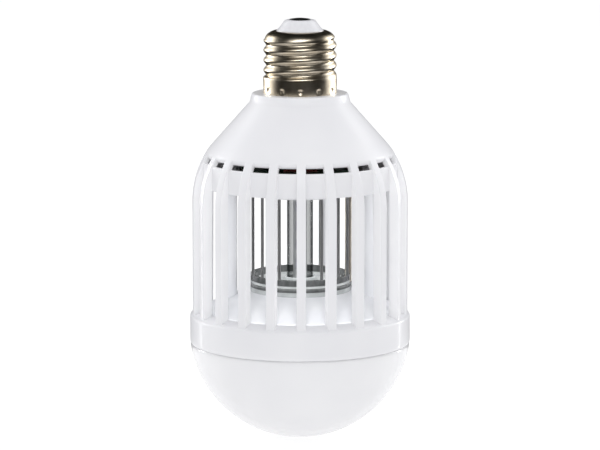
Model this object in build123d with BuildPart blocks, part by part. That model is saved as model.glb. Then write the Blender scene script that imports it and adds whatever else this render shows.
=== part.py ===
from build123d import *
from math import acos, cos, degrees, radians, sin, sqrt, tan
import os

os.makedirs("parts", exist_ok=True)

# A lamp bulb that gives white light below and kills insects in a cage above.
# Millimetres and degrees. The lamp stands cap up, on its axis, and its front is towards -Y.
# Height zero is the rim of the screw cap, where it meets the neck.

# Screw cap, an E27 thread rolled in thin sheet
thread_radius = 13.2
thread_depth = 1.0
thread_pitch = 3.62
thread_turns = 3.7
crest_width = 2.5
crest_flat_width = 1.0
crest_rounding = 0.2
skirt_height = 6.4
skirt_growth = 0.1
cap_wall = 0.5
cap_shoulder_height = 3.6
cap_mouth_radius = 9.1
insulator_rise = 3.0
insulator_top_radius = 4.9
contact_radius = 3.75
contact_rise = 0.5
contact_stem_radius = 1.1
dimple_count = 12
dimple_ball_radius = 1.1
dimple_depth = 0.3
dimple_height = 1.5

# Neck, dome, cage and lower ring, one moulding
neck_radius = 17.4
collar_height = 3.4
collar_flare = 0.9
collar_rounding = 0.8
flank_angle = 41.5
dome_radius = 31.0
dome_height = 22.3
housing_wall = 2.0
spigot_wall = 1.6
cage_radius = 39.2
rib_count = 22
rib_thickness = 3.3
rib_depth = 3.6
slot_height = 2.2
band_height = 8.8
window_height = 47.0
ring_step = 0.8
ring_height = 9.5
flange_thickness = 2.0

# Deck tray, with two hollow posts
deck_slope = 23.0
deck_wall = 2.0
tray_rim_thickness = 2.0
post_radius = 2.8
post_bore_radius = 1.3
post_offset = 3.85
post_foot_depth = 3.0

# Electrode grid
rod_pairs = 7
rod_radius = 0.55
rod_ring_radius = 17.5
rod_socket_depth = 3.0
electrode_strip_width = 2.4
electrode_strip_thickness = 1.0
feed_rod_radius = 1.2
base_disc_height = 5.9
base_disc_margin = 0.9

# Partition plate, which closes the driver chamber
plate_thickness = 2.4
plate_head_depth = 3.0
plate_head_margin = 2.4
plate_socket_depth = 1.2
boss_radius = 3.0
boss_count = 3
peg_radius = 1.5
peg_height = 3.0
peg_centre_radius = 11.0
peg_count = 4

# Ultraviolet lamp in the middle of the grid
tube_radius = 4.75
tube_wall = 0.8
uv_board_width = 5.0
uv_board_thickness = 1.0
uv_led_rows = 4
uv_led_spacing = 7.0

# Surface-mounted lamps, the same package for both boards
led_length = 3.5
led_width = 2.8
led_height = 0.8

# Driver board and its parts
board_radius = 21.4
board_thickness = 1.6
board_margin = 1.2
capacitor_radius = 5.0
capacitor_height = 15.0
capacitor_bead_depth = 0.3
core_width = 12.0
core_depth = 10.0
core_height = 11.0
core_leg = 2.6
coil_overhang = 1.2
film_width = 12.5
film_depth = 5.0
film_height = 9.5
film_rounding = 1.4
resistor_radius = 1.7
resistor_length = 8.0
rectifier_side = 6.5
rectifier_height = 2.6
film_edge_margin = 4.0
lead_radius = 0.6
lead_loop_height = 3.0

# Distances from the lamp axis to the parts on the driver board
capacitor_left_distance = 8.5
capacitor_back_distance = 4.0
core_right_distance = 6.5
core_front_distance = 4.0
resistor_left_distance = 9.5
resistor_front_distance = 6.0
rectifier_side_distance = 6.0
live_pad_left_distance = 1.5
live_pad_back_distance = 2.5
neutral_pad_right_distance = 12.5
neutral_pad_back_distance = 3.5
led_pad_offset = 4.0

# White lamp board and diffuser
led_board_thickness = 1.6
led_board_margin = 2.0
led_board_drop = 1.6
inner_led_radius = 11.0
inner_led_count = 6
outer_led_radius = 23.0
outer_led_count = 12
diffuser_wall = 1.6
diffuser_depth = 33.9
lip_height = 2.2
lip_inset = 0.2

# Screws
screw_radius = 1.1
screw_head_radius = 2.3
screw_head_height = 1.5
screw_length = 6.0

# Clearances
fit_gap = 0.3
pin_gap = 0.1
seat_gap = 0.1

# Places that follow from the sizes
skirt_radius = thread_radius + skirt_growth
skirt_bore_radius = skirt_radius - cap_wall
root_radius = thread_radius - thread_depth
thread_top = skirt_height + thread_pitch * thread_turns
shell_top = thread_top + cap_shoulder_height
insulator_top = shell_top + insulator_rise
insulator_seat = thread_top + cap_wall
mouth_lean = (root_radius - cap_mouth_radius) / (cap_shoulder_height - cap_wall)
contact_ball_radius = (contact_radius**2 + contact_rise**2) / (2 * contact_rise)
spigot_radius = root_radius - cap_wall - fit_gap
spigot_bore_radius = spigot_radius - spigot_wall
spigot_top = thread_top - thread_pitch / 2

band_top = -(dome_height + slot_height)
band_foot = band_top - band_height
ring_top = band_foot - window_height
ring_foot = ring_top - ring_height
ring_radius = cage_radius + ring_step
ring_bore_radius = ring_radius - housing_wall
rib_inner_radius = cage_radius - rib_depth
band_bore_radius = rib_inner_radius - housing_wall
gap_back_radius = band_bore_radius - 2 * housing_wall
flange_foot = ring_top - flange_thickness

slope = radians(deck_slope)
flank = radians(flank_angle)
collar_foot_radius = neck_radius + collar_flare
arc_centre_x = cage_radius - dome_radius
flank_foot_x = arc_centre_x + dome_radius * cos(flank)
flank_foot_z = -collar_height - (flank_foot_x - collar_foot_radius) / tan(flank)
arc_centre_z = flank_foot_z - dome_radius * sin(flank)

base_disc_radius = rod_ring_radius + rod_radius + base_disc_margin
crown_radius = base_disc_radius + fit_gap
post_centre_radius = base_disc_radius + post_offset + post_radius
tray_radius = rib_inner_radius - fit_gap
tray_rim_radius = ring_bore_radius - fit_gap
tray_rim_top = flange_foot - seat_gap
tray_rim_foot = tray_rim_top - tray_rim_thickness

plate_radius = band_bore_radius - fit_gap
plate_top = band_foot + plate_thickness
plate_head_radius = rod_ring_radius + plate_head_margin
plate_head_foot = band_foot - plate_head_depth
boss_centre_radius = board_radius + board_margin + boss_radius
board_foot = plate_top + peg_height
board_top = board_foot + board_thickness

led_board_top = tray_rim_foot - led_board_drop
led_board_foot = led_board_top - led_board_thickness
collar_radius = ring_bore_radius - fit_gap
lip_radius = ring_radius - lip_inset
lip_top = ring_foot - seat_gap
lip_foot = lip_top - lip_height
diffuser_top = tray_rim_foot - seat_gap
ball_radius = (lip_radius**2 + diffuser_depth**2) / (2 * diffuser_depth)
ball_centre = lip_foot - diffuser_depth + ball_radius


def deck_height(radius):
    """Height of the sloping deck's top face at a distance from the axis."""
    return ring_top + (cage_radius - radius) * tan(slope)


crown_height = deck_height(crown_radius)
base_disc_top = crown_height + base_disc_height
lower_ring_top = crown_height + electrode_strip_thickness
tube_foot = base_disc_top - rod_socket_depth
tube_top = plate_head_foot + plate_socket_depth
led_board_radius = collar_radius - diffuser_wall - led_board_margin
led_boss_centre_radius = (inner_led_radius + outer_led_radius) / 2
strip_outer_radius = rod_ring_radius + electrode_strip_width / 2
strip_inner_radius = rod_ring_radius - electrode_strip_width / 2
neutral_start = -90
live_start = neutral_start + 180 / rod_pairs
stand = (Align.CENTER, Align.CENTER, Align.MIN)
capacitor_place = (-capacitor_left_distance, capacitor_back_distance)
core_place = (core_right_distance, -core_front_distance)
resistor_place = (-resistor_left_distance, -resistor_front_distance)
rectifier_place = (rectifier_side_distance, rectifier_side_distance)
live_pad = (-live_pad_left_distance, live_pad_back_distance)
neutral_pad = (neutral_pad_right_distance, neutral_pad_back_distance)


def finish(part, name):
    """Label one finished piece and write its file."""
    part.label = name
    export_step(part, f"parts/{name}.step")


# Screw shell: drawn sheet with a rolled thread, a turned-in shoulder and dimples punched round its rim
with BuildPart() as screw_shell:
    with BuildSketch(Plane.XZ):
        with BuildLine():
            Polyline(
                (cap_mouth_radius, shell_top),
                (cap_mouth_radius - cap_wall, shell_top),
                (cap_mouth_radius - cap_wall, shell_top - cap_wall),
                (root_radius - cap_wall, thread_top),
                (root_radius - cap_wall, skirt_height - cap_wall),
                (skirt_bore_radius, skirt_height - 2 * cap_wall),
                (skirt_bore_radius, 0),
                (skirt_radius, 0),
                (skirt_radius, skirt_height),
                (root_radius, skirt_height + cap_wall),
                (root_radius, thread_top - cap_wall),
                (root_radius + cap_wall, thread_top),
            )
            ThreePointArc(
                (root_radius + cap_wall, thread_top),
                ((root_radius + cap_mouth_radius) / 2 + cap_wall, thread_top + 0.62 * cap_shoulder_height),
                (cap_mouth_radius, shell_top),
            )
        make_face()
    revolve(axis=Axis.Z)
    with BuildLine() as thread_path:
        Helix(
            pitch=thread_pitch,
            height=thread_top - skirt_height - crest_width / 2,
            radius=root_radius,
            center=(0, 0, skirt_height),
        )
    with BuildSketch(Plane.XZ):
        with BuildLine():
            crest_foot = root_radius - cap_wall / 2
            crest_corner = thread_radius - crest_rounding
            Polyline(
                (crest_corner, skirt_height - crest_flat_width / 2),
                (crest_foot, skirt_height - crest_width / 2),
                (crest_foot, skirt_height + crest_width / 2),
                (crest_corner, skirt_height + crest_flat_width / 2),
            )
            ThreePointArc(
                (crest_corner, skirt_height - crest_flat_width / 2),
                (thread_radius, skirt_height),
                (crest_corner, skirt_height + crest_flat_width / 2),
            )
        make_face()
    sweep(path=thread_path.line, is_frenet=True)
    with Locations((0, 0, dimple_height)):
        with PolarLocations(skirt_radius + dimple_ball_radius - dimple_depth, dimple_count, -90):
            Sphere(dimple_ball_radius, mode=Mode.SUBTRACT)
finish(screw_shell.part, "screw_shell")

# Cap insulator: a white cone with a flange caught under the shell's mouth
with BuildPart() as cap_insulator:
    with BuildSketch(Plane.XZ):
        with BuildLine():
            neck = cap_mouth_radius - cap_wall - pin_gap
            flange_radius = root_radius - cap_wall - mouth_lean * cap_wall - fit_gap
            Polyline(
                (contact_stem_radius + pin_gap, insulator_seat),
                (flange_radius, insulator_seat),
                (neck, shell_top - cap_wall - fit_gap),
                (neck, shell_top),
                (insulator_top_radius, insulator_top),
                (contact_stem_radius + pin_gap, insulator_top),
                close=True,
            )
        make_face()
    revolve(axis=Axis.Z)
finish(cap_insulator.part, "cap_insulator")

# Centre contact: a pressed disc on a rivet stem through the insulator
with BuildPart() as centre_contact:
    with BuildSketch(Plane.XZ):
        with BuildLine():
            Polyline(
                (0, insulator_top + contact_rise),
                (0, insulator_seat - seat_gap),
                (contact_stem_radius, insulator_seat - seat_gap),
                (contact_stem_radius, insulator_top),
                (contact_radius, insulator_top),
            )
            RadiusArc(
                (contact_radius, insulator_top),
                (0, insulator_top + contact_rise),
                -contact_ball_radius,
            )
        make_face()
    revolve(axis=Axis.Z)
finish(centre_contact.part, "centre_contact")

# The hollow of the housing, less the columns that stay as screw bosses
with BuildPart() as cavity:
    with BuildSketch(Plane.XZ):
        with BuildLine():
            neck_bore = neck_radius - housing_wall
            inner_arc_radius = dome_radius - housing_wall
            inner_flank_x = arc_centre_x + inner_arc_radius * cos(flank)
            inner_flank_z = arc_centre_z + inner_arc_radius * sin(flank)
            band_angle = degrees(acos((band_bore_radius - arc_centre_x) / inner_arc_radius))
            inner_arc = CenterArc(
                (arc_centre_x, arc_centre_z),
                inner_arc_radius,
                band_angle,
                flank_angle - band_angle,
            )
            Polyline(
                inner_arc @ 1,
                (neck_bore, inner_flank_z + (inner_flank_x - neck_bore) / tan(flank)),
                (neck_bore, -housing_wall),
                (spigot_bore_radius, -housing_wall),
                (spigot_bore_radius, spigot_top),
                (0, spigot_top),
                (0, ring_foot),
                (ring_bore_radius, ring_foot),
                (ring_bore_radius, flange_foot),
                (rib_inner_radius, flange_foot),
                (rib_inner_radius, band_foot),
                (band_bore_radius, band_foot),
                inner_arc @ 0,
            )
        make_face()
    revolve(axis=Axis.Z)
    with BuildSketch(Plane.XY.offset(plate_top)):
        with PolarLocations(boss_centre_radius, boss_count, 30):
            Circle(boss_radius)
    extrude(amount=dome_height + slot_height, mode=Mode.SUBTRACT)

# The 22 gaps of the cage, cut as one ring less the ribs: a slot, a pocket over the band, a window
with BuildPart() as gaps:
    gap_out_radius = ring_radius + housing_wall
    with BuildSketch(Plane.XZ):
        with BuildLine():
            Polyline(
                (gap_back_radius, -dome_height),
                (gap_out_radius, -dome_height),
                (gap_out_radius, deck_height(gap_out_radius)),
                (gap_back_radius, deck_height(gap_back_radius)),
                (gap_back_radius, band_foot),
                (rib_inner_radius, band_foot),
                (rib_inner_radius, band_top),
                (gap_back_radius, band_top),
                close=True,
            )
        make_face()
    revolve(axis=Axis.Z)
    with BuildSketch(Plane.XY.offset(ring_foot)):
        with PolarLocations((gap_back_radius + gap_out_radius) / 2, rib_count, -90):
            Rectangle(2 * (gap_out_radius - gap_back_radius), rib_thickness)
    extrude(amount=-ring_foot, mode=Mode.SUBTRACT)

# Cage housing: neck with the spigot for the cap, dome, 22 ribs, inner band and lower ring
with BuildPart() as cage_housing:
    with BuildSketch(Plane.XZ):
        with BuildLine():
            Polyline(
                (flank_foot_x, flank_foot_z),
                (collar_foot_radius, -collar_height),
                (neck_radius, 0),
                (skirt_bore_radius - fit_gap, 0),
                (skirt_bore_radius - fit_gap, skirt_height - 2 * cap_wall - fit_gap),
                (spigot_radius, skirt_height - 2 * cap_wall - fit_gap),
                (spigot_radius, spigot_top),
                (0, spigot_top),
                (0, ring_foot),
                (ring_radius, ring_foot),
                (ring_radius, ring_top - ring_step),
                (cage_radius, ring_top),
                (cage_radius, arc_centre_z),
            )
            CenterArc((arc_centre_x, arc_centre_z), dome_radius, 0, flank_angle)
        make_face()
    revolve(axis=Axis.Z)
    fillet(
        cage_housing.edges()
        .filter_by(GeomType.CIRCLE)
        .filter_by(lambda edge: abs(edge.radius - neck_radius) < pin_gap and abs(edge.center().Z) < pin_gap),
        radius=collar_rounding,
    )
    add(cavity.part, mode=Mode.SUBTRACT)
    add(gaps.part, mode=Mode.SUBTRACT)
    with BuildSketch(Plane.XY.offset(plate_top)):
        with PolarLocations(boss_centre_radius, boss_count, 30):
            Circle(screw_radius)
    extrude(amount=screw_length, mode=Mode.SUBTRACT)
finish(cage_housing.part, "cage_housing")

# Partition plate: closes the driver chamber, carries the rods' upper ends and the board's pegs
with BuildPart() as partition_plate:
    with BuildSketch(Plane.XY.offset(band_foot)):
        Circle(plate_radius)
    extrude(amount=plate_thickness)
    with BuildSketch(Plane.XY.offset(plate_head_foot)):
        Circle(plate_head_radius)
    extrude(amount=plate_head_depth)
    with BuildSketch(Plane.XY.offset(plate_top)):
        with PolarLocations(peg_centre_radius, peg_count, 45):
            Circle(peg_radius)
    extrude(amount=peg_height)
    with BuildSketch(Plane.XY.offset(plate_head_foot)):
        with PolarLocations(rod_ring_radius, rod_pairs, live_start):
            Circle(rod_radius + pin_gap)
        with PolarLocations(rod_ring_radius, 1, 0):
            Circle(feed_rod_radius + pin_gap)
        with Locations((post_centre_radius, 0), (-post_centre_radius, 0)):
            Circle(post_bore_radius)
        with PolarLocations(boss_centre_radius, boss_count, 30):
            Circle(screw_radius + pin_gap)
        Circle(tube_radius - tube_wall - pin_gap)
    extrude(amount=plate_head_depth + plate_thickness, mode=Mode.SUBTRACT)
    with BuildSketch(Plane.XY.offset(plate_head_foot)):
        with PolarLocations(rod_ring_radius, rod_pairs, neutral_start):
            Circle(rod_radius + pin_gap)
    extrude(amount=rod_socket_depth, mode=Mode.SUBTRACT)
    with BuildSketch(Plane.XY.offset(plate_head_foot)):
        Circle(tube_radius + pin_gap)
    extrude(amount=plate_socket_depth, mode=Mode.SUBTRACT)
finish(partition_plate.part, "partition_plate")

# Electrode rings: the upper one lies on the partition plate, the lower one in the foot of the base disc
for name, foot in (("upper_electrode_ring", plate_top), ("lower_electrode_ring", crown_height)):
    with BuildPart() as electrode_ring:
        with BuildSketch(Plane.XY.offset(foot)):
            Circle(strip_outer_radius)
            Circle(strip_inner_radius, mode=Mode.SUBTRACT)
            if name == "upper_electrode_ring":
                with Locations((rod_ring_radius, 0)):
                    Circle(feed_rod_radius + fit_gap, mode=Mode.SUBTRACT)
        extrude(amount=electrode_strip_thickness)
    finish(electrode_ring.part, name)

# Electrode rods: seven live ones hang from the upper ring, seven neutral ones stand on the lower ring
for number in range(2 * rod_pairs):
    live = number % 2 == 1
    rod_foot = base_disc_top - rod_socket_depth if live else lower_ring_top
    rod_top = plate_top if live else plate_head_foot + rod_socket_depth
    turn = radians(neutral_start + number * 180 / rod_pairs)
    with BuildPart(
        Plane((rod_ring_radius * cos(turn), rod_ring_radius * sin(turn), rod_foot))
    ) as electrode_rod:
        Cylinder(rod_radius, rod_top - rod_foot, align=stand)
    finish(electrode_rod.part, f"electrode_rod_{number + 1:02d}")

# Feed rod: the thicker metal rod that joins the driver board to the lower ring
with BuildPart(Plane((rod_ring_radius, 0, lower_ring_top))) as feed_rod:
    Cylinder(feed_rod_radius, board_top - lower_ring_top, align=stand)
finish(feed_rod.part, "feed_rod")

# Base disc: clear plastic, with holes for the rods, a socket for the lamp tube and a step for the ring
with BuildPart() as base_disc:
    with BuildSketch(Plane.XY.offset(crown_height)):
        Circle(base_disc_radius)
    extrude(amount=base_disc_height)
    with BuildSketch(Plane.XY.offset(crown_height)):
        Circle(base_disc_radius)
        Circle(strip_inner_radius - pin_gap, mode=Mode.SUBTRACT)
    extrude(amount=electrode_strip_thickness, mode=Mode.SUBTRACT)
    with BuildSketch(Plane.XY.offset(crown_height)):
        with PolarLocations(rod_ring_radius, rod_pairs, neutral_start):
            Circle(rod_radius + pin_gap)
        with Locations((rod_ring_radius, 0)):
            Circle(feed_rod_radius + pin_gap)
    extrude(amount=base_disc_height, mode=Mode.SUBTRACT)
    with BuildSketch(Plane.XY.offset(base_disc_top)):
        with PolarLocations(rod_ring_radius, rod_pairs, live_start):
            Circle(rod_radius + pin_gap)
        Circle(tube_radius + pin_gap)
    extrude(amount=-rod_socket_depth, mode=Mode.SUBTRACT)
finish(base_disc.part, "base_disc")

# Lamp tube: clear plastic round the ultraviolet lamps, held in sockets at both ends
with BuildPart(Plane.XY.offset(tube_foot)) as lamp_tube:
    Cylinder(tube_radius, tube_top - tube_foot, align=stand)
    Cylinder(tube_radius - tube_wall, tube_top - tube_foot, align=stand, mode=Mode.SUBTRACT)
finish(lamp_tube.part, "lamp_tube")

# Ultraviolet board: a strip that stands in the tube, with lamps on both faces
with BuildPart(Plane.XY.offset(tube_foot)) as uv_board:
    Box(uv_board_width, uv_board_thickness, tube_top - tube_foot, align=stand)
finish(uv_board.part, "uv_board")

with BuildPart() as uv_leds:
    for face in (-1, 1):
        lamp_y = face * (uv_board_thickness + led_height) / 2
        for row in range(uv_led_rows):
            lamp_z = (tube_foot + tube_top) / 2 + (row - (uv_led_rows - 1) / 2) * uv_led_spacing
            with Locations((0, lamp_y, lamp_z)):
                Box(led_width, led_height, led_length)
finish(uv_leds.part, "uv_leds")

# Deck tray: the sloping white floor of the cage, with a rim under the ring's flange and two hollow posts
with BuildPart() as deck_tray:
    with BuildSketch(Plane.XZ):
        with BuildLine():
            Polyline(
                (0, crown_height),
                (crown_radius, crown_height),
                (tray_radius, deck_height(tray_radius)),
                (tray_radius, tray_rim_top),
                (tray_rim_radius, tray_rim_top),
                (tray_rim_radius, tray_rim_foot),
                (tray_radius - deck_wall, tray_rim_foot),
                (tray_radius - deck_wall, deck_height(tray_radius - deck_wall) - deck_wall),
                (crown_radius, crown_height - deck_wall),
                (0, crown_height - deck_wall),
                close=True,
            )
        make_face()
    revolve(axis=Axis.Z)
    with BuildSketch(Plane.XY.offset(deck_height(post_centre_radius) - deck_wall - post_foot_depth)):
        with Locations((post_centre_radius, 0), (-post_centre_radius, 0)):
            Circle(post_radius)
    extrude(amount=band_foot - deck_height(post_centre_radius) + deck_wall + post_foot_depth)
    with BuildSketch(Plane.XY.offset(led_board_top)):
        with PolarLocations(led_boss_centre_radius, boss_count, 90):
            Circle(boss_radius)
    extrude(amount=crown_height - deck_wall / 2 - led_board_top)
    with BuildSketch(Plane.XY.offset(led_board_top)):
        with PolarLocations(led_boss_centre_radius, boss_count, 90):
            Circle(screw_radius)
    extrude(amount=screw_length, mode=Mode.SUBTRACT)
    with BuildSketch(Plane.XY.offset(led_board_top)):
        with Locations((post_centre_radius, 0), (-post_centre_radius, 0)):
            Circle(post_bore_radius)
    extrude(amount=band_foot - led_board_top, mode=Mode.SUBTRACT)
finish(deck_tray.part, "deck_tray")

# Driver board: round, standing on the plate's pegs, with its parts soldered on top
with BuildPart(Plane.XY.offset(board_foot)) as driver_board:
    Cylinder(board_radius, board_thickness, align=stand)
    with Locations((rod_ring_radius, 0, 0)):
        Cylinder(feed_rod_radius + pin_gap, board_thickness, align=stand, mode=Mode.SUBTRACT)
finish(driver_board.part, "driver_board")

# Smoothing capacitor: a can with a rolled bead near its foot
with BuildPart(Plane((*capacitor_place, board_top))) as smoothing_capacitor:
    Cylinder(capacitor_radius, capacitor_height, align=stand)
    chamfer(smoothing_capacitor.edges().group_by(Axis.Z)[-1], length=capacitor_bead_depth)
    with Locations((0, 0, capacitor_radius / 2)):
        Cylinder(capacitor_radius, 2 * capacitor_bead_depth, align=stand, mode=Mode.SUBTRACT)
        Cylinder(capacitor_radius - capacitor_bead_depth, 2 * capacitor_bead_depth, align=stand)
finish(smoothing_capacitor.part, "smoothing_capacitor")

# Transformer: a ferrite core of two outer legs and yokes round a wound coil
with BuildPart(Plane((*core_place, board_top))) as transformer_core:
    Box(core_width, core_depth, core_height, align=stand)
    with Locations((0, 0, core_leg)):
        Box(
            core_width - 2 * core_leg,
            core_depth,
            core_height - 2 * core_leg,
            align=stand,
            mode=Mode.SUBTRACT,
        )
finish(transformer_core.part, "transformer_core")

with BuildPart(Plane((*core_place, board_top + core_leg + seat_gap))) as transformer_coil:
    Box(
        core_width - 2 * core_leg - 2 * seat_gap,
        core_depth + 2 * coil_overhang,
        core_height - 2 * core_leg - 2 * seat_gap,
        align=stand,
    )
    fillet(transformer_coil.edges().filter_by(Axis.Z), radius=coil_overhang)
finish(transformer_coil.part, "transformer_coil")

# Film capacitors: dipped blocks in front of and behind the transformer
film_reach = board_radius - film_edge_margin - film_depth / 2
for name, film_y in (("film_capacitor_front", -film_reach), ("film_capacitor_rear", film_reach)):
    with BuildPart(Plane((0, film_y, board_top))) as film_capacitor:
        Box(film_width, film_depth, film_height, align=stand)
        fillet(film_capacitor.edges().filter_by(Axis.Z), radius=film_rounding)
        fillet(film_capacitor.edges().group_by(Axis.Z)[-1], radius=film_rounding / 2)
    finish(film_capacitor.part, name)

# Fuse resistor and rectifier
with BuildPart(Plane((*resistor_place, board_top + resistor_radius))) as fuse_resistor:
    Cylinder(resistor_radius, resistor_length, rotation=(0, 90, 0))
    fillet(fuse_resistor.edges(), radius=resistor_radius / 3)
finish(fuse_resistor.part, "fuse_resistor")

with BuildPart(Plane((*rectifier_place, board_top))) as rectifier:
    Box(rectifier_side, rectifier_side, rectifier_height, align=stand)
    chamfer(rectifier.edges().group_by(Axis.Z)[-1], length=rectifier_height / 6)
finish(rectifier.part, "rectifier")

# Leads: insulated wires that are laid whole, as straight runs joined by arcs
spigot_rim_lay = spigot_top + lead_radius + seat_gap
neutral_drop_x = spigot_bore_radius - 4 * lead_radius
lead_rise = board_top + lead_loop_height
leads = {
    "live_lead": [
        (0, 0, insulator_seat - seat_gap),
        (0, 0, skirt_height),
        (*live_pad, -dome_height / 2),
        (*live_pad, board_top),
    ],
    "neutral_lead": [
        (root_radius - cap_wall - 2 * lead_radius, 0, spigot_rim_lay),
        (neutral_drop_x, 0, spigot_rim_lay),
        (neutral_drop_x, neutral_pad[1], -dome_height / 2),
        (*neutral_pad, -dome_height),
        (*neutral_pad, board_top),
    ],
}
for side_name, side in (("right", 1), ("left", -1)):
    leads[f"led_lead_{side_name}"] = [
        (side * rod_ring_radius, led_pad_offset, board_top),
        (side * rod_ring_radius, led_pad_offset, lead_rise),
        (side * post_centre_radius, 0, lead_rise),
        (side * post_centre_radius, 0, led_board_top),
    ]
for name, route in leads.items():
    with BuildPart() as lead:
        with BuildLine() as route_line:
            FilletPolyline(*route, radius=2 * lead_radius)
        with BuildSketch(Plane(route_line.line @ 0, z_dir=route_line.line % 0)):
            Circle(lead_radius)
        sweep(path=route_line.line)
    finish(lead.part, name)

# White lamp board: an aluminium disc screwed under the tray, with its lamps on the lower face
with BuildPart(Plane.XY.offset(led_board_foot)) as led_board:
    Cylinder(led_board_radius, led_board_thickness, align=stand)
    with PolarLocations(led_boss_centre_radius, boss_count, 90):
        Cylinder(screw_radius + pin_gap, led_board_thickness, align=stand, mode=Mode.SUBTRACT)
finish(led_board.part, "led_board")

with BuildPart(Plane.XY.offset(led_board_foot - led_height)) as white_leds:
    with PolarLocations(inner_led_radius, inner_led_count):
        Box(led_width, led_length, led_height, align=stand)
    with PolarLocations(outer_led_radius, outer_led_count):
        Box(led_width, led_length, led_height, align=stand)
finish(white_leds.part, "white_leds")

# Screws: domed heads below what they hold, shanks up into the bosses
screw_sets = (
    ("plate_screws", boss_centre_radius, 30, band_foot, plate_top),
    ("led_board_screws", led_boss_centre_radius, 90, led_board_foot, led_board_top),
)
for name, circle, start, seat, boss_foot in screw_sets:
    with BuildPart() as screws:
        with BuildSketch(Plane.XY.offset(seat)):
            with PolarLocations(circle, boss_count, start):
                Circle(screw_radius - pin_gap)
        extrude(amount=boss_foot - seat + screw_length - fit_gap)
        with BuildSketch(Plane.XY.offset(seat)):
            with PolarLocations(circle, boss_count, start):
                Circle(screw_head_radius)
        extrude(amount=-screw_head_height)
        chamfer(
            screws.edges().group_by(Axis.Z)[0],
            length=screw_head_height / 2,
        )
    finish(screws.part, name)

# Diffuser: a milky bowl whose collar snaps into the lower ring and holds the tray up against the flange
with BuildPart() as diffuser:
    with BuildSketch(Plane.XZ):
        with BuildLine():
            inner_ball_radius = ball_radius - diffuser_wall
            bowl_mouth_height = lip_foot + diffuser_wall / 2
            bowl_mouth_radius = sqrt(inner_ball_radius**2 - (bowl_mouth_height - ball_centre) ** 2)
            collar_bore_radius = collar_radius - diffuser_wall
            Polyline(
                (0, ball_centre - inner_ball_radius),
                (0, ball_centre - ball_radius),
            )
            RadiusArc((0, ball_centre - ball_radius), (lip_radius, lip_foot), -ball_radius)
            Polyline(
                (lip_radius, lip_foot),
                (lip_radius, lip_top),
                (collar_radius, lip_top),
                (collar_radius, diffuser_top),
                (collar_bore_radius, diffuser_top),
                (collar_bore_radius, lip_top - diffuser_wall / 2),
                (bowl_mouth_radius, bowl_mouth_height),
            )
            RadiusArc(
                (bowl_mouth_radius, bowl_mouth_height),
                (0, ball_centre - inner_ball_radius),
                inner_ball_radius,
            )
        make_face()
    revolve(axis=Axis.Z)
finish(diffuser.part, "diffuser")
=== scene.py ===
import math

import bmesh
import bpy
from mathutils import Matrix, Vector


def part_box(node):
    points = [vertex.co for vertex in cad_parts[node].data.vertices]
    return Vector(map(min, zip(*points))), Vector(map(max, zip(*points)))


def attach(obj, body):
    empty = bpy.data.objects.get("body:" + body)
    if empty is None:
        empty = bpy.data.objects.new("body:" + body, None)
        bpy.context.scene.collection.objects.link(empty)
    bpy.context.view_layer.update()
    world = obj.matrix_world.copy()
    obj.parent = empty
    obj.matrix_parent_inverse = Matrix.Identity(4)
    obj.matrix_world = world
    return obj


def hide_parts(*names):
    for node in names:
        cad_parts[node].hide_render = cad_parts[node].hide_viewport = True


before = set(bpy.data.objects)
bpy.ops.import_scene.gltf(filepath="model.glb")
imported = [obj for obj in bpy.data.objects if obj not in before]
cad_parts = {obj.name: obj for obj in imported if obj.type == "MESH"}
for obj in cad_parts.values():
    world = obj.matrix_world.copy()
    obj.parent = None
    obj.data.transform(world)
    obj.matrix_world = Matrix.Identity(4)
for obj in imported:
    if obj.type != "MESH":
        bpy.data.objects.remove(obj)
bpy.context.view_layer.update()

# Cage housing: neck, dome, 22 ribs, inner band and lower ring are one white ABS moulding. It is
# turned here as one wall, and the gaps between the ribs are then cut through it as the mould's
# side cores leave them. Outer edges are slightly round. Faces inside the cage are rougher and are
# painted paler than the outside: painted light that makes up for the shade inside the cage.
MM = 0.001
FULL_TURN = 2 * math.pi
WELD = 0.01 * MM


def fillet_points(centre, radius, start, end, steps):
    """Points of radius and height along an arc, in millimetres and degrees."""
    angles = [math.radians(start + (end - start) * i / steps) for i in range(steps + 1)]
    return [(centre[0] + radius * math.cos(a), centre[1] + radius * math.sin(a)) for a in angles]


def draw_section(name, points):
    """Draw a closed cross-section in the plane of the axis, from points of radius and height."""
    bpy.ops.object.select_all(action="DESELECT")
    start = (points[0][0] * MM, 0, points[0][1] * MM)
    bpy.ops.mesh.primitive_plane_add(size=MM, location=start)
    bpy.ops.object.transform_apply(location=True, rotation=True, scale=True)
    section = bpy.context.object
    section.name = name
    section.data.name = name
    bpy.ops.object.mode_set(mode="EDIT")
    bpy.ops.mesh.select_all(action="SELECT")
    bpy.ops.mesh.merge(type="CENTER")
    here = points[0]
    for there in points[1:] + points[:1]:
        step = ((there[0] - here[0]) * MM, 0, (there[1] - here[1]) * MM)
        bpy.ops.mesh.extrude_vertices_move(TRANSFORM_OT_translate={"value": step})
        here = there
    bpy.ops.mesh.select_all(action="SELECT")
    bpy.ops.mesh.remove_doubles(threshold=WELD)
    return section


def turn_section(steps):
    """Spin the section that is being drawn once round the lamp axis, close its seam and poles."""
    bpy.ops.mesh.select_all(action="SELECT")
    bpy.ops.mesh.spin(steps=steps, angle=FULL_TURN, center=(0, 0, 0), axis=(0, 0, 1))
    bpy.ops.mesh.select_all(action="SELECT")
    bpy.ops.mesh.remove_doubles(threshold=WELD)
    bpy.ops.mesh.normals_make_consistent(inside=False)
    bpy.ops.object.mode_set(mode="OBJECT")


def combine(piece, tool, operation):
    """Cut one solid out of another, or join it to the other, and throw the tool away."""
    boolean = piece.modifiers.new("combine", "BOOLEAN")
    boolean.operation = operation
    boolean.solver = "EXACT"
    boolean.object = tool
    bpy.context.view_layer.objects.active = piece
    bpy.ops.object.modifier_apply(modifier=boolean.name)
    bpy.data.objects.remove(tool)


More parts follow.
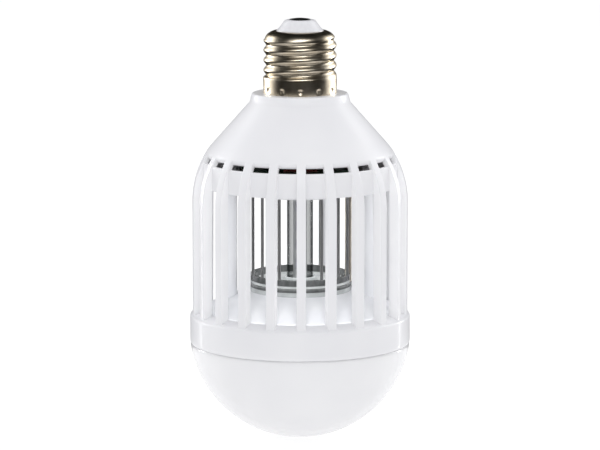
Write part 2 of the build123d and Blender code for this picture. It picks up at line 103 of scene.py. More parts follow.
def break_edges(piece, width, segments=3, sharp=35):
    """Give every outer edge sharper than an angle a small radius, then shade the faces."""
    edges = bmesh.new()
    edges.from_mesh(piece.data)
    weight = edges.edges.layers.float.new("bevel_weight_edge")
    for edge in edges.edges:
        edge[weight] = float(edge.is_convex and edge.calc_face_angle(0) > math.radians(sharp))
    edges.to_mesh(piece.data)
    edges.free()
    bpy.ops.object.select_all(action="DESELECT")
    piece.select_set(True)
    bpy.context.view_layer.objects.active = piece
    bevel = piece.modifiers.new("edges", "BEVEL")
    bevel.width = width * MM
    bevel.segments = segments
    bevel.limit_method = "WEIGHT"
    bevel.use_clamp_overlap = False
    bevel.miter_outer = "MITER_ARC"
    bpy.ops.object.modifier_apply(modifier=bevel.name)
    bpy.ops.object.shade_smooth_by_angle(angle=math.radians(sharp))
    flats = piece.modifiers.new("flats", "WEIGHTED_NORMAL")
    flats.keep_sharp = True
    bpy.ops.object.modifier_apply(modifier=flats.name)


class Mark:
    """A pattern over a surface. Sums and products of marks and numbers add their Math nodes."""

    def __init__(self, finish, socket):
        self.finish = finish
        self.socket = socket

    def maths(self, operation, other):
        sockets = {0: self, 1: other}
        return self.finish.node("ShaderNodeMath", {"operation": operation}, sockets)

    def __add__(self, other):
        return self.maths("ADD", other)

    __radd__ = __add__

    def __mul__(self, other):
        return self.maths("MULTIPLY", other)


class Finish:
    """A surface finish: the shader holds what is the same all over, the rest comes from node()."""

    def __init__(self, name, constants):
        self.material = bpy.data.materials.new(name)
        self.material.use_nodes = True
        self.tree = self.material.node_tree
        self.shader = self.tree.nodes["Principled BSDF"]
        for socket, value in constants.items():
            self.shader.inputs[socket].default_value = value
        self.place = self.node("ShaderNodeTexCoord", {}, {}, "Object")

    def node(self, kind, settings, sockets, output=0):
        """One node: its settings (a ramp's stops too), then the values or links of its sockets."""
        made = self.tree.nodes.new(kind)
        for name, value in settings.items():
            if name == "stops":
                ramp = made.color_ramp.elements
                for stop, (position, colour) in zip(ramp, value):
                    stop.position = position
                    stop.color = (*colour, 1)
            else:
                setattr(made, name, value)
        for name, value in sockets.items():
            self.feed(made.inputs[name], value)
        return Mark(self, made.outputs[output])

    def feed(self, socket, value):
        """Link a mark to a socket, or set a plain value on it."""
        if isinstance(value, Mark):
            self.tree.links.new(value.socket, socket)
        else:
            socket.default_value = value

    def speckle(self, size, detail=2.0, stretch=(1, 1, 1)):
        """Even noise whose blotches are about this many millimetres across."""
        point = self.node("ShaderNodeMapping", {}, {"Vector": self.place, "Scale": stretch})
        sockets = {"Vector": point, "Scale": 1 / (size * MM), "Detail": detail}
        return self.node("ShaderNodeTexNoise", {}, sockets)

    def paint(self, first, second, mark):
        """Base colour between two colours, by a mark from 0 to 1."""
        stops = [(0.3, first), (0.7, second)]
        colour = self.node("ShaderNodeValToRGB", {"stops": stops}, {"Fac": mark})
        self.feed(self.shader.inputs["Base Color"], colour)

    def gloss(self, mark):
        """Roughness that changes over the surface."""
        self.feed(self.shader.inputs["Roughness"], mark)

    def relief(self, height, depth):
        """Small relief of a depth in millimetres."""
        bump = self.node("ShaderNodeBump", {}, {"Height": height, "Distance": depth * MM})
        self.feed(self.shader.inputs["Normal"], bump)


def dress(piece, finish):
    """Lay a finish on a piece or on a CAD node."""
    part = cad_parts[piece] if isinstance(piece, str) else piece
    part.data.materials.clear()
    part.data.materials.append(finish.material)


def hand_over(piece, slot, *nodes):
    """The piece stands for its CAD nodes, which are hidden, and rides on the lamp's one body; slot
    is not used.
    """
    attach(piece, "root")
    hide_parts(*nodes)


neck_radius = 17.4
collar = [(18.3, -3.4), (17.62, -0.9), (neck_radius, -0.35), (17.05, 0)]
spigot = [(12.5, 0), (12.5, 5.1), (11.4, 5.1), (11.4, 17.98)]
spigot_bore = [(9.8, 17.98), (9.8, -2.0), (15.4, -2.0), (15.4, -3.0)]
dome_centre = (8.2, -38.77)
dome_radius = 31.0
dome_wall = 2.0
dome_bore_foot = 28.86
flank = 41.5
cage_radius = 39.2
rib_back_radius = 35.6
band_bore_radius = 33.6
gap_back_radius = 29.6
rib_count = 22
rib_thickness = 3.3
slot_roof = -23.4
band_top = -24.9
band_foot = -33.6
ring_top = -80.3
ring_step = 0.8
ring_seat = -82.3
ring_foot = -91.1
ring_radius = 40.0
ring_bore_radius = 38.0
ring_lip = [(39.6, ring_foot), (39.74, -91.02), (39.87, -90.75), (39.96, -90.3)]
ring_side = [(ring_radius, -89.6), (ring_radius, ring_top - ring_step)]
deck_slope = 23.0
deck_rise = math.tan(math.radians(deck_slope))
housing_steps = 4 * rib_count

housing = draw_section(
    "cage_housing_moulding",
    fillet_points(dome_centre, dome_radius, 0, flank, steps=14)
    + collar + spigot + spigot_bore
    + fillet_points(dome_centre, dome_radius - dome_wall, flank, dome_bore_foot, steps=5)
    + [(band_bore_radius, band_foot), (rib_back_radius, band_foot)]
    + [(rib_back_radius, ring_seat), (ring_bore_radius, ring_seat), (ring_bore_radius, ring_foot)]
    + ring_lip + ring_side + [(cage_radius, ring_top)],
)
turn_section(housing_steps)

shaving = 0.03
outside = 43.0
brow_radius, brow_height = 33.7, -20.6
roof_rounding = 1.5
roof_centre = (32.4, slot_roof + roof_rounding)
gap_back = rib_back_radius - shaving
gap_foot = ring_top - shaving
gaps = draw_section(
    "cage_gaps",
    [(gap_back_radius, slot_roof)]
    + fillet_points(roof_centre, roof_rounding, -90, 10, steps=7)
    + [(brow_radius, brow_height), (outside, brow_height)]
    + [(outside, gap_foot - (outside - cage_radius) * deck_rise)]
    + [(gap_back, gap_foot + (cage_radius - gap_back) * deck_rise)]
    + [(gap_back, band_top), (gap_back_radius, band_top)],
)
turn_section(housing_steps)
blade_size = (rib_thickness * MM, 20 * MM, 80 * MM)
blade_place = (0, -36 * MM, -53 * MM)
bpy.ops.object.select_all(action="DESELECT")
bpy.ops.mesh.primitive_cube_add(size=1, location=blade_place)
blades = bpy.context.object
bpy.ops.transform.resize(value=blade_size)
bpy.ops.object.transform_apply(location=True, rotation=True, scale=True)
bpy.ops.object.mode_set(mode="EDIT")
rib_pitch = FULL_TURN / rib_count
for rib in range(rib_count - 1):
    bpy.ops.mesh.duplicate()
    bpy.ops.transform.rotate(value=rib_pitch, orient_axis="Z", center_override=(0, 0, 0))
bpy.ops.object.mode_set(mode="OBJECT")
combine(gaps, blades, "DIFFERENCE")
combine(housing, gaps, "DIFFERENCE")
bpy.ops.object.select_all(action="DESELECT")
bpy.context.view_layer.objects.active = housing
bpy.ops.object.mode_set(mode="EDIT")
bpy.ops.mesh.select_all(action="SELECT")
bpy.ops.mesh.remove_doubles(threshold=2 * shaving * MM)
bpy.ops.mesh.dissolve_degenerate(threshold=shaving * MM)
bpy.ops.object.mode_set(mode="OBJECT")
break_edges(housing, width=0.3)

white_moulding = Finish(
    "white_moulding",
    {"IOR": 1.5, "Specular IOR Level": 0.3, "Coat Weight": 0.06, "Coat Roughness": 0.1},
)
cloud = white_moulding.speckle(14.0, detail=1.0)
grain = white_moulding.speckle(0.35, detail=3.0)
white_moulding.paint((0.80, 0.80, 0.825), (0.825, 0.825, 0.845), cloud)
white_moulding.gloss(0.26 + grain * 0.12)
white_moulding.relief(grain, depth=0.012)
# Faces inside the cage are painted paler than the outside: painted light for the shade in the
# cage. They are rougher too.
inside_painted_light = Finish("white_moulding_painted_light_inside", {"IOR": 1.53})
grain = inside_painted_light.speckle(0.5, detail=3.0)
cloud = inside_painted_light.speckle(9.0, detail=1.0)
inside_painted_light.paint((0.93, 0.93, 0.945), (0.95, 0.95, 0.96), cloud)
inside_painted_light.gloss(0.45 + grain * 0.15)
inside_painted_light.relief(grain, depth=0.02)
dress(housing, white_moulding)
housing.data.materials.append(inside_painted_light.material)
# The paler painted-light finish goes on the faces that don't face outward, from the ring up to the
# slots.
inside_foot = ring_top - 1
faces_out = 0.3
for face in housing.data.polygons:
    middle = face.center / MM
    outward = face.normal.xy.dot(middle.xy.normalized())
    face.material_index = inside_foot < middle.z < slot_roof and outward < faces_out
hand_over(housing, "white_moulding", "cage_housing")

# Partition plate: a flat moulding under the dome, screwed from below to three bosses of the
# housing. It closes the driver chamber and holds the upper ends of the rods and of the lamp tube.
inner_moulding = Finish("inner_moulding", {"IOR": 1.5})
grain = inner_moulding.speckle(0.5, detail=3.0)
cloud = inner_moulding.speckle(9.0)
inner_moulding.paint((0.84, 0.84, 0.86), (0.88, 0.88, 0.90), cloud)
inner_moulding.gloss(0.42 + grain * 0.15)
inner_moulding.relief(grain, depth=0.02)
dress("partition_plate", inner_moulding)

# Screws: zinc-plated steel. Three go up into the bosses of the housing and hold the partition
# plate, and three go up into the bosses of the deck and hold the white lamp board.
screw_steel = Finish("screw_steel", {"Metallic": 1.0})
plating = screw_steel.speckle(0.6, detail=3.0)
screw_steel.paint((0.50, 0.50, 0.49), (0.62, 0.62, 0.63), plating)
screw_steel.gloss(0.25 + plating * 0.25)
screw_steel.relief(plating, depth=0.01)
dress("plate_screws", screw_steel)
dress("led_board_screws", screw_steel)

# Electrode grid: fourteen drawn stainless rods, spot-welded in turn to the upper and the lower
# ring. Drawing leaves fine darker and lighter lines along each rod.
electrodes = [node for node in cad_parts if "electrode" in node]
electrode_steel = Finish("electrode_steel", {"Metallic": 1.0})
drawn = electrode_steel.speckle(0.18, detail=3.0, stretch=(1, 1, 0.02))
electrode_steel.paint((0.32, 0.32, 0.32), (0.50, 0.50, 0.50), drawn)
electrode_steel.gloss(0.22 + drawn * 0.2)
electrode_steel.relief(drawn, depth=0.01)
for node in electrodes:
    dress(node, electrode_steel)

# Feed rod: a thicker rod of nickelled brass that joins the driver board to the lower ring.
# It is held by the partition plate, and its lower end is soldered to the ring.
feed_metal = Finish("feed_metal", {"Metallic": 1.0})
drawn = feed_metal.speckle(0.25, detail=3.0, stretch=(1, 1, 0.03))
feed_metal.paint((0.33, 0.29, 0.24), (0.52, 0.47, 0.40), drawn)
feed_metal.gloss(0.2 + drawn * 0.2)
feed_metal.relief(drawn, depth=0.012)
dress("feed_rod", feed_metal)

# Lamp tube: clear extruded acrylic, pushed into a socket of the partition plate and of the base
# disc. Its cut ends are square with the sharp edge taken off, and its wall has faint draw lines.
tube_radius = 4.75
tube_bore_radius = 3.95
tube_low, tube_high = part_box("lamp_tube")
tube_foot, tube_top = tube_low.z / MM, tube_high.z / MM
lamp_tube = draw_section(
    "lamp_tube_clear",
    [(tube_radius, tube_foot), (tube_radius, tube_top)]
    + [(tube_bore_radius, tube_top), (tube_bore_radius, tube_foot)],
)
turn_section(steps=64)
break_edges(lamp_tube, width=0.15, segments=2)
clear_tube = Finish(
    "clear_tube", {"Transmission Weight": 1.0, "IOR": 1.03, "Base Color": (1, 1, 1, 1)}
)
absorption = {"Color": (0.02, 0.04, 0.04, 1), "Density": 420.0}
tint = clear_tube.node("ShaderNodeVolumeAbsorption", {}, absorption)
clear_tube.feed(clear_tube.tree.nodes["Material Output"].inputs["Volume"], tint)
draw_lines = clear_tube.speckle(1.2, stretch=(1, 1, 0.05))
clear_tube.gloss(0.02 + draw_lines * 0.03)
clear_tube.relief(draw_lines, depth=0.002)
dress(lamp_tube, clear_tube)
hand_over(lamp_tube, "clear_tube", "lamp_tube")

# Ultraviolet board: a white lacquered strip that stands in the tube, with four lamps on each
# face. Each lamp is a small violet-tinted package, reflow-soldered to the strip.
lamp_board_white = Finish("lamp_board_white", {"IOR": 1.5})
lacquer = lamp_board_white.speckle(0.8)
lamp_board_white.paint((0.86, 0.87, 0.87), (0.91, 0.92, 0.92), lacquer)
lamp_board_white.gloss(0.35 + lacquer * 0.15)
lamp_board_white.relief(lacquer, depth=0.01)
dress("uv_board", lamp_board_white)
uv_lamp = Finish("uv_lamp", {"IOR": 1.5, "Coat Weight": 0.4})
resin = uv_lamp.speckle(0.7)
uv_lamp.paint((0.62, 0.58, 0.80), (0.74, 0.72, 0.86), resin)
uv_lamp.gloss(0.15 + resin * 0.15)
uv_lamp.relief(resin, depth=0.01)
dress("uv_leds", uv_lamp)

# Driver board: a round green laminate that stands on four pegs of the partition plate. It
# carries the capacitors, transformer, fuse resistor and rectifier, all soldered on its top.
driver_laminate = Finish("driver_laminate", {"IOR": 1.5, "Coat Weight": 0.3})
weaving = {"Vector": driver_laminate.place, "Scale": 900.0}
weave = driver_laminate.node("ShaderNodeTexBrick", {}, weaving, "Fac")
driver_laminate.paint((0.03, 0.08, 0.045), (0.05, 0.11, 0.06), weave)
driver_laminate.gloss(0.3 + weave * 0.15)
driver_laminate.relief(weave, depth=0.01)
dress("driver_board", driver_laminate)

# Smoothing capacitor: an aluminium can in a dark blue shrink sleeve. It stands on the driver
# board, and the shrinking leaves the sleeve slightly uneven.
capacitor_sleeve = Finish("capacitor_sleeve", {"IOR": 1.5, "Coat Weight": 0.3})
shrink = capacitor_sleeve.speckle(1.5, stretch=(1, 1, 0.3))
capacitor_sleeve.paint((0.02, 0.02, 0.06), (0.04, 0.05, 0.11), shrink)
capacitor_sleeve.gloss(0.2 + shrink * 0.15)
capacitor_sleeve.relief(shrink, depth=0.02)
dress("smoothing_capacitor", capacitor_sleeve)

# Transformer: a dark ground ferrite core round a coil that is wound with yellow tape.
# Ferrite is sintered and faintly grainy, and the turns of the tape show as low steps.
ferrite = Finish("ferrite", {"IOR": 1.7})
sinter = ferrite.speckle(0.4, detail=4.0)
ferrite.paint((0.02, 0.02, 0.022), (0.06, 0.06, 0.065), sinter)
ferrite.gloss(0.45 + sinter * 0.3)
ferrite.relief(sinter, depth=0.04)
dress("transformer_core", ferrite)
coil_tape = Finish("coil_tape", {"IOR": 1.5, "Coat Weight": 0.2})
wraps = coil_tape.speckle(1.6, detail=1.0, stretch=(0.1, 0.1, 1))
coil_tape.paint((0.62, 0.46, 0.05), (0.78, 0.62, 0.12), wraps)
coil_tape.gloss(0.25 + wraps * 0.2)
coil_tape.relief(wraps, depth=0.05)
dress("transformer_coil", coil_tape)

# Film capacitors: one in front of the transformer and one behind it. Both are dipped in
# red-brown resin, which hardens glossy and a little uneven.
dipped_film = Finish("dipped_film", {"IOR": 1.5, "Coat Weight": 0.5})
dip = dipped_film.speckle(2.0)
dipped_film.paint((0.30, 0.06, 0.05), (0.42, 0.09, 0.07), dip)
dipped_film.gloss(0.18 + dip * 0.15)
dipped_film.relief(dip, depth=0.06)
dress("film_capacitor_front", dipped_film)
dress("film_capacitor_rear", dipped_film)

# Fuse resistor and rectifier: a lacquered rod that lies across the front left of the board,
# and a black moulded package at its back.
resistor_lacquer = Finish("resistor_lacquer", {"IOR": 1.5, "Coat Weight": 0.4})
brushed = resistor_lacquer.speckle(0.9)
resistor_lacquer.paint((0.12, 0.26, 0.22), (0.20, 0.36, 0.30), brushed)
resistor_lacquer.gloss(0.2 + brushed * 0.2)
resistor_lacquer.relief(brushed, depth=0.02)
dress("fuse_resistor", resistor_lacquer)
black_package = Finish("black_package", {"IOR": 1.5})
spark = black_package.speckle(0.15)
black_package.paint((0.012, 0.012, 0.012), (0.03, 0.03, 0.03), spark)
black_package.gloss(0.45 + spark * 0.2)
black_package.relief(spark, depth=0.02)
dress("rectifier", black_package)

# Leads: stranded wire in red or white insulation, from the cap to the driver board,
# and from the driver board down the two hollow posts to the white lamp board.
for colour, first, second, nodes in (
    ("red", (0.42, 0.03, 0.02), (0.52, 0.05, 0.03), ("live_lead", "led_lead_right")),
    ("white", (0.74, 0.74, 0.71), (0.80, 0.80, 0.78), ("neutral_lead", "led_lead_left")),
):
    insulation = Finish(colour + "_insulation", {"IOR": 1.5})
    skin = insulation.speckle(0.5)
    insulation.paint(first, second, skin)
    insulation.gloss(0.35 + skin * 0.15)
    insulation.relief(skin, depth=0.01)
    for node in nodes:
        dress(node, insulation)

# Screw shell: deep-drawn sheet, nickel-plated, pushed over the housing's spigot. The thread
# is rolled into the drawn wall, the mouth is turned in at the top, and twelve punch marks near
# the rim hold the shell to the plastic behind it.
thread_radius = 13.2
thread_depth = 1.0
thread_pitch = 3.62
skirt_radius = 13.3
skirt_height = 6.4
thread_top = 19.79
shell_top = 22.5
mouth_radius = 9.1
sheet = 0.5
shoulder_sheet = 0.35
row_height = 0.3
rows = [i * row_height for i in range(int(thread_top / row_height) + 1)]
wall = [(skirt_radius, height) for height in rows]
shoulder = [(12.55, 20.1), (12.2, 20.75), (11.65, 21.35), (10.85, 21.9), (9.95, 22.3)]
mouth = [(mouth_radius, shell_top)]
mouth += [(mouth_radius - sheet, shell_top - 0.1), (mouth_radius - sheet, shell_top - 0.45)]
inner_shoulder = [(radius - shoulder_sheet, height - 0.4) for radius, height in reversed(shoulder)]
inner_wall = [(skirt_radius - sheet, height) for height in reversed(rows)]
screw_shell = draw_section(
    "screw_shell_rolled", wall + shoulder + mouth + inner_shoulder + inner_wall
)
turn_section(steps=180)


def eased(share):
    """A smooth step from 0 to 1."""
    share = min(1.0, max(0.0, share))
    return share * share * (3 - 2 * share)


run_in_start, run_in_length = 0.9, 1.1
run_out_end, run_out_length = 0.5, 0.9
crest_fullness = 0.8
shoulder_draw, shoulder_draw_length = 0.45, 0.9
punch_count = 12
punch_height = 1.7
punch_radius = 1.25
punch_depth = 0.42
punch_fullness = 1.15
punch_squash_below, punch_squash_above = 0.75, 1.1
punch_pitch = FULL_TURN / punch_count
shell_mesh = bmesh.new()
shell_mesh.from_mesh(screw_shell.data)
for vertex in shell_mesh.verts:
    height = vertex.co.z / MM
    if height > thread_top:
        continue
    radius = math.hypot(vertex.co.x, vertex.co.y) / MM
    turn = math.atan2(vertex.co.y, vertex.co.x)
    above_skirt = height - skirt_height
    crest = 0.5 + 0.5 * math.cos(FULL_TURN * above_skirt / thread_pitch - turn)
    run_in = eased((above_skirt + run_in_start) / run_in_length)
    run_out = eased((thread_top + run_out_end - height) / run_out_length)
    sunk = (skirt_radius - thread_radius) * run_in
    sunk += thread_depth * run_in * run_out * (1 - crest ** crest_fullness)
    sunk += shoulder_draw * eased((height - thread_top) / shoulder_draw_length + 1)
    aside = (turn + math.pi / 2 + punch_pitch / 2) % punch_pitch - punch_pitch / 2
    squash = punch_squash_below if height < punch_height else punch_squash_above
    reach = math.hypot(aside * skirt_radius, (height - punch_height) * squash)
    sunk += punch_depth * eased(punch_fullness * (1 - reach / punch_radius))
    vertex.co.x *= (radius - sunk) / radius
    vertex.co.y *= (radius - sunk) / radius
shell_mesh.to_mesh(screw_shell.data)
shell_mesh.free()
bpy.ops.object.select_all(action="DESELECT")
screw_shell.select_set(True)
bpy.context.view_layer.objects.active = screw_shell
bpy.ops.object.shade_smooth_by_angle(angle=math.radians(50))

nickel_sheet = Finish("nickel_sheet", {"Metallic": 1.0})
rolling = nickel_sheet.speckle(1.0, detail=4.0, stretch=(0.08, 0.08, 1.6))
tarnish = nickel_sheet.speckle(5.0, detail=3.0)
nickel_sheet.paint((0.76, 0.65, 0.48), (0.90, 0.81, 0.66), tarnish)
nickel_sheet.gloss(0.21 + rolling * 0.12 + tarnish * 0.08)
nickel_sheet.relief(rolling, depth=0.006)
dress(screw_shell, nickel_sheet)
hand_over(screw_shell, "nickel_sheet", "screw_shell")

# Cap insulator: a pressed white plastic cone, caught under the turned-in mouth of the shell.
# The centre contact lies over a shallow recess in its top, with its rivet stem in the hole.
rivet_hole_radius = 1.2
insulator_foot = 19.6
recess_floor = 26.3
insulator_top = 26.39
cone = [(11.1, insulator_foot), (8.5, 21.6), (8.5, shell_top), (8.2, 22.9), (7.35, 23.8)]
cone += [(6.6, 24.8), (5.95, 25.7), (5.4, 26.26), (4.9, insulator_top), (3.9, insulator_top)]
insulator = draw_section(
    "cap_insulator_cone",
    [(rivet_hole_radius, insulator_foot)] + cone
    + [(3.8, recess_floor), (rivet_hole_radius, recess_floor)],
)
turn_section(steps=96)
break_edges(insulator, width=0.12, segments=2, sharp=40)
insulator_white = Finish("cap_insulator_white", {"IOR": 1.5, "Coat Weight": 0.2})
pressing = insulator_white.speckle(1.6, detail=3.0)
insulator_white.paint((0.75, 0.75, 0.78), (0.81, 0.81, 0.835), pressing)
insulator_white.gloss(0.28 + pressing * 0.12)
insulator_white.relief(pressing, depth=0.02)
dress(insulator, insulator_white)
hand_over(insulator, "cap_insulator", "cap_insulator")

# Centre contact: a tinned brass disc on a rivet stem. Its solder stands a little proud round
# the middle and has worn dull and dark.
stem_radius = 1.1
stem_foot = 20.19
contact_edge = [(3.62, insulator_top), (3.75, 26.45), (3.66, 26.6)]
solder = [(3.3, 26.68), (2.4, 26.79), (1.9, 26.89), (1.3, 26.86), (0.7, 26.79), (0, 26.76)]
contact = draw_section(
    "centre_contact_disc",
    solder[-1:] + [(0, stem_foot), (stem_radius, stem_foot), (stem_radius, insulator_top)]
    + contact_edge + solder[:-1],
)
turn_section(steps=64)
bpy.ops.object.shade_smooth_by_angle(angle=math.radians(40))
tinned_brass = Finish("tinned_brass", {"Metallic": 1.0})
tinning = tinned_brass.speckle(1.1, detail=4.0)
tinned_brass.paint((0.12, 0.12, 0.12), (0.26, 0.26, 0.26), tinning)
tinned_brass.gloss(0.28 + tinning * 0.3)
tinned_brass.relief(tinning, depth=0.05)
dress(contact, tinned_brass)
hand_over(contact, "contact_metal", "centre_contact")

# Base disc: moulded acrylic, a shallow dish on the crown of the deck with a low socket for the
# tube. Its raised rim and the band round it, where the grid's steel strips lie, are painted dark
# grey: a painted reflection and shade for the dark that the clear acrylic shows there. The rest
# is clear and takes the white of the deck.
disc_low, disc_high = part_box("base_disc")
disc_foot, disc_top = disc_low.z / MM, disc_high.z / MM
disc_radius = 18.95
disc_foot_radius = 18.8
rim_radius = 18.2
rim_bore_radius = 16.5
steps_below_top = [(rim_radius, 0), (rim_radius, 2.0), (18.05, 2.1), (rim_radius, 2.9)]
steps_below_top += [(disc_radius, 3.3), (disc_radius, 4.2), (disc_foot_radius, 4.3)]
dish = disc_top - 2.3
socket_radius = 5.8
socket_bore_radius = 4.85
socket_top = dish + 1.2
base_disc = draw_section(
    "base_disc_clear",
    [(0, dish), (socket_bore_radius, dish), (socket_bore_radius, socket_top)]
    + [(socket_radius, socket_top), (socket_radius, dish), (rim_bore_radius, dish)]
    + [(rim_bore_radius, disc_top)]
    + [(radius, disc_top - below) for radius, below in steps_below_top]
    + [(disc_foot_radius, disc_foot), (0, disc_foot)],
)
turn_section(steps=96)
break_edges(base_disc, width=0.2, segments=2)
clear_disc = Finish(
    "clear_disc",
    {"IOR": 1.49, "Transmission Weight": 0.2, "Coat Weight": 0.5, "Coat Roughness": 0.04},
)
flow = clear_disc.speckle(4.0)
clear_disc.paint((0.62, 0.65, 0.65), (0.80, 0.83, 0.83), flow)
clear_disc.gloss(0.06 + flow * 0.06)
clear_disc.relief(flow, depth=0.08)
# The rim and the band are painted dark grey: painted reflection and shade, for the dark that clear
# acrylic shows there.
rim_painted_dark = Finish("rim_painted_dark", {"IOR": 1.49, "Coat Weight": 0.5, "Coat Roughness": 0.05})
flow = rim_painted_dark.speckle(2.5, stretch=(1, 1, 0.4))
rim_painted_dark.paint((0.08, 0.085, 0.085), (0.15, 0.155, 0.155), flow)
rim_painted_dark.gloss(0.08 + flow * 0.08)
rim_painted_dark.relief(flow, depth=0.05)
dress(base_disc, clear_disc)
base_disc.data.materials.append(rim_painted_dark.material)
# The dark painted finish goes on the rim and on the band below it.
painted_dark_from = rim_bore_radius - 0.1
rim_depth = 2.05
band_start, band_end = 3.0, 4.25
for face in base_disc.data.polygons:
    middle = face.center / MM
    below_top = disc_top - middle.z
    painted_dark = below_top < rim_depth or band_start < below_top < band_end
    face.material_index = middle.xy.length > painted_dark_from and painted_dark
hand_over(base_disc, "clear_disc", "base_disc")

# Deck tray: the sloping white floor of the cage. Dead insects slide down it and out between
# the ribs. Two hollow posts of the same moulding carry the wires of the white lamp past the grid.
crown_radius = 19.25
crown_height = ring_top + (cage_radius - crown_radius) * deck_rise
deck_wall = 2
tray_radius = 35.3
tray_edge_height = ring_top + (cage_radius - tray_radius) * deck_rise
tray_bore_radius = 33.3
tray_bore_top = tray_edge_height - 1.15
flange_radius = 37.7
flange_top, flange_foot = -82.4, -84.4
deck = draw_section(
    "deck_tray_moulding",
    [(0, crown_height), (crown_radius, crown_height), (tray_radius, tray_edge_height)]
    + [(tray_radius, flange_top), (flange_radius, flange_top), (flange_radius, flange_foot)]
    + [(tray_bore_radius, flange_foot), (tray_bore_radius, tray_bore_top)]
    + [(crown_radius, crown_height - deck_wall), (0, crown_height - deck_wall)],
)
turn_section(steps=96)


def upright(across, radius, foot, top, steps):
    """A round bar that stands at a place across the lamp, between two heights."""
    bpy.ops.object.select_all(action="DESELECT")
    bpy.ops.mesh.primitive_cylinder_add(
        vertices=steps, radius=radius * MM, depth=(top - foot) * MM,
        location=(across * MM, 0, (top + foot) / 2 * MM),
    )
    bpy.ops.object.transform_apply(location=True, rotation=True, scale=True)
    return bpy.context.object


post_offset = 25.6
post_radius = 2.8
post_bore_radius = 1.3
post_sink = 4
post_foot = ring_top + (cage_radius - post_offset) * deck_rise - post_sink
bore_foot, bore_top = -95, -25
for across in (post_offset, -post_offset):
    post = upright(across, post_radius, post_foot, band_foot, steps=48)
    combine(deck, post, "UNION")
    bore = upright(across, post_bore_radius, bore_foot, bore_top, steps=32)
    combine(deck, bore, "DIFFERENCE")
break_edges(deck, width=0.3)
deck_moulding = Finish(
    "deck_moulding", {"IOR": 1.53, "Coat Weight": 0.15, "Coat Roughness": 0.1}
)
grain = deck_moulding.speckle(0.35, detail=3.0)
cloud = deck_moulding.speckle(11.0, detail=1.0)
deck_moulding.paint((0.87, 0.88, 0.91), (0.90, 0.91, 0.93), cloud)
deck_moulding.gloss(0.26 + grain * 0.12)
deck_moulding.relief(grain, depth=0.012)
dress(deck, deck_moulding)
hand_over(deck, "deck_moulding", "deck_tray")

# White lamp board: an aluminium disc with white lacquer, screwed under the tray.
# Eighteen lamps with yellow phosphor are soldered to its lower face, behind the diffuser.
aluminium_board = Finish("aluminium_board", {"Metallic": 0.6})
lacquer = aluminium_board.speckle(0.8, detail=3.0)
aluminium_board.paint((0.72, 0.73, 0.74), (0.80, 0.81, 0.82), lacquer)
aluminium_board.gloss(0.35 + lacquer * 0.2)
aluminium_board.relief(lacquer, depth=0.01)
dress("led_board", aluminium_board)
white_lamp = Finish("white_lamp", {"IOR": 1.5, "Coat Weight": 0.3})
phosphor = white_lamp.speckle(0.5, detail=3.0)
white_lamp.paint((0.80, 0.62, 0.16), (0.88, 0.74, 0.30), phosphor)
white_lamp.gloss(0.3 + phosphor * 0.2)
white_lamp.relief(phosphor, depth=0.02)
dress("white_leds", white_lamp)

# Diffuser: a milky polycarbonate bowl, blow-moulded, with a rolled lip under the lower ring.
# Its collar snaps into the ring and holds the tray up.
lip_foot = -92.1
lip_top = -91.12
lip_radius = 39.8
lip_wall = 0.8
collar_radius = 37.7
collar_bore_radius = 36.1
collar_top, collar_foot = -84.5, -91.0
lip = [(lip_radius, -91.6), (39.72, -91.26), (39.58, lip_top), (collar_radius, lip_top)]
bowl_depth = 33.9
bowl_wall = 1.6
bowl_radius = (lip_radius ** 2 + bowl_depth ** 2) / (2 * bowl_depth)
bowl_centre = lip_foot - bowl_depth + bowl_radius
bowl_edge = math.degrees(math.asin((lip_foot - bowl_centre) / bowl_radius))
inner_bowl = bowl_radius - bowl_wall
inner_edge = math.degrees(math.asin((lip_foot + lip_wall - bowl_centre) / inner_bowl))
diffuser = draw_section(
    "diffuser_bowl",
    [(collar_radius, collar_top), (collar_bore_radius, collar_top)]
    + [(collar_bore_radius, collar_foot)]
    + fillet_points((0, bowl_centre), inner_bowl, inner_edge, -90, steps=28)
    + fillet_points((0, bowl_centre), bowl_radius, -90, bowl_edge, steps=36)
    + lip,
)
turn_section(steps=132)
break_edges(diffuser, width=0.25, sharp=30)
milky_diffuser = Finish(
    "milky_diffuser",
    {"IOR": 1.58, "Subsurface Weight": 0.35, "Subsurface Radius": (0.004, 0.004, 0.004),
     "Subsurface Scale": 1.0, "Coat Weight": 0.1},
)
cloud = milky_diffuser.speckle(18.0, detail=1.0)
orange_peel = milky_diffuser.speckle(1.6, detail=1.0)
milky_diffuser.paint((0.835, 0.835, 0.86), (0.865, 0.865, 0.885), cloud)
milky_diffuser.gloss(0.2 + orange_peel * 0.08)
milky_diffuser.relief(orange_peel, depth=0.008)
dress(diffuser, milky_diffuser)
hand_over(diffuser, "milky_diffuser", "diffuser")

# Studio: a plain pale floor lit from within, like a light table, so no shadow falls on it. Soft
# lights and strips stand beside and behind the lamp, a key light above the camera, one overhead.
# Two more reach the deck or the base disc alone, and the cards are there for the metal alone.
for name, width, height, glow in (
    ("floor", 16, -0.1262, 0.84),
    ("floor_near", 0.26, -0.12615, 0.77),
):
    bpy.ops.object.select_all(action="DESELECT")
    bpy.ops.mesh.primitive_plane_add(size=width, location=(0, 0, height))
    floor = bpy.context.object
    floor.name = name
    floor.visible_glossy = name == "floor_near"
    floor_white = Finish(name + "_white", {"Base Color": (0.25, 0.25, 0.25, 1), "Roughness": 0.9})
    floor_white.shader.inputs["Emission Color"].default_value = (1, 1, 1, 1)
    floor_white.shader.inputs["Emission Strength"].default_value = glow
    floor.data.materials.append(floor_white.material)


def group(name, *pieces):
    """A collection of pieces that a light is linked to."""
    members = bpy.data.collections.new(name)
    for piece in pieces:
        members.objects.link(piece)
    return members


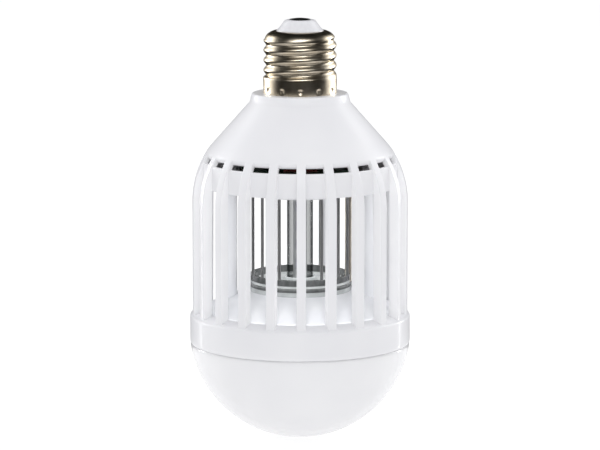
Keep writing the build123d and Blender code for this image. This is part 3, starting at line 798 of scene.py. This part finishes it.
lamp_middle = Vector((0, 0, -0.05))
rods = [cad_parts[node] for node in ["feed_rod"] + electrodes]
cage_inside = group("cage_inside", deck)
disc_only = group("disc_only", base_disc)
metal_only = group("metal_only", screw_shell, *rods)
for name, place, width, height, power, mirrored, lit in (
    ("left_light", (-1.05, 0.60, 0.35), 0.5, 1.0, 2.5, True, None),
    ("right_light", (1.05, 0.60, 0.35), 0.5, 1.0, 2.5, True, None),
    ("left_strip", (-0.97, 0.71, 0.0), 0.10, 0.9, 4.2, True, None),
    ("right_strip", (0.97, 0.71, 0.0), 0.10, 0.9, 4.2, True, None),
    ("key_light", (0.05, -1.15, 0.85), 0.85, 0.5, 3.1, True, None),
    ("top_light", (0, 0.1, 1.5), 1.2, 1.2, 5.8, False, None),
    ("cage_light", (0, -1.5, 0.25), 0.9, 0.7, 14.0, False, cage_inside),
    ("disc_light", (0, -0.25, 1.3), 0.5, 0.5, 24.0, False, disc_only),
    ("left_card", (-1.05, 0.60, 0.15), 1.3, 0.9, 4.6, True, metal_only),
    ("right_card", (1.05, 0.60, 0.15), 1.3, 0.9, 4.6, True, metal_only),
    ("front_card", (0, -1.15, 0.75), 1.7, 0.40, 4.6, True, metal_only),
):
    bpy.ops.object.light_add(type="AREA", location=place)
    light = bpy.context.object
    light.name = name
    light.rotation_euler = (lamp_middle - Vector(place)).to_track_quat("-Z", "Y").to_euler()
    light.data.shape = "RECTANGLE"
    light.data.size = width
    light.data.size_y = height
    light.data.energy = power
    light.visible_camera = False
    light.visible_glossy = mirrored
    light.light_linking.receiver_collection = lit
bpy.data.objects["disc_light"].light_linking.blocker_collection = disc_only

world = bpy.data.worlds.new("studio")
bpy.context.scene.world = world
world.use_nodes = True
world.cycles_visibility.glossy = False
sky = world.node_tree.nodes["Background"]
sky.inputs["Color"].default_value = (0.98, 0.985, 1.0, 1)
sky.inputs["Strength"].default_value = 0.7
bpy.context.scene.view_settings.view_transform = "Standard"

distance = 1.284
elevation = math.radians(9)
aside = math.radians(0.7)
aim = Vector((0, 0, -0.0484))
reach = distance * math.cos(elevation)
camera_place = aim + Vector(
    (-reach * math.sin(aside), -reach * math.cos(aside), distance * math.sin(elevation))
)
bpy.ops.object.camera_add(location=camera_place)
camera = bpy.context.object
camera.rotation_euler = (aim - camera_place).to_track_quat("-Z", "Y").to_euler()
camera.data.sensor_width = 36
camera.data.lens = 212.3
camera.data.clip_start = 0.01
camera.data.clip_end = 50
bpy.context.scene.camera = camera
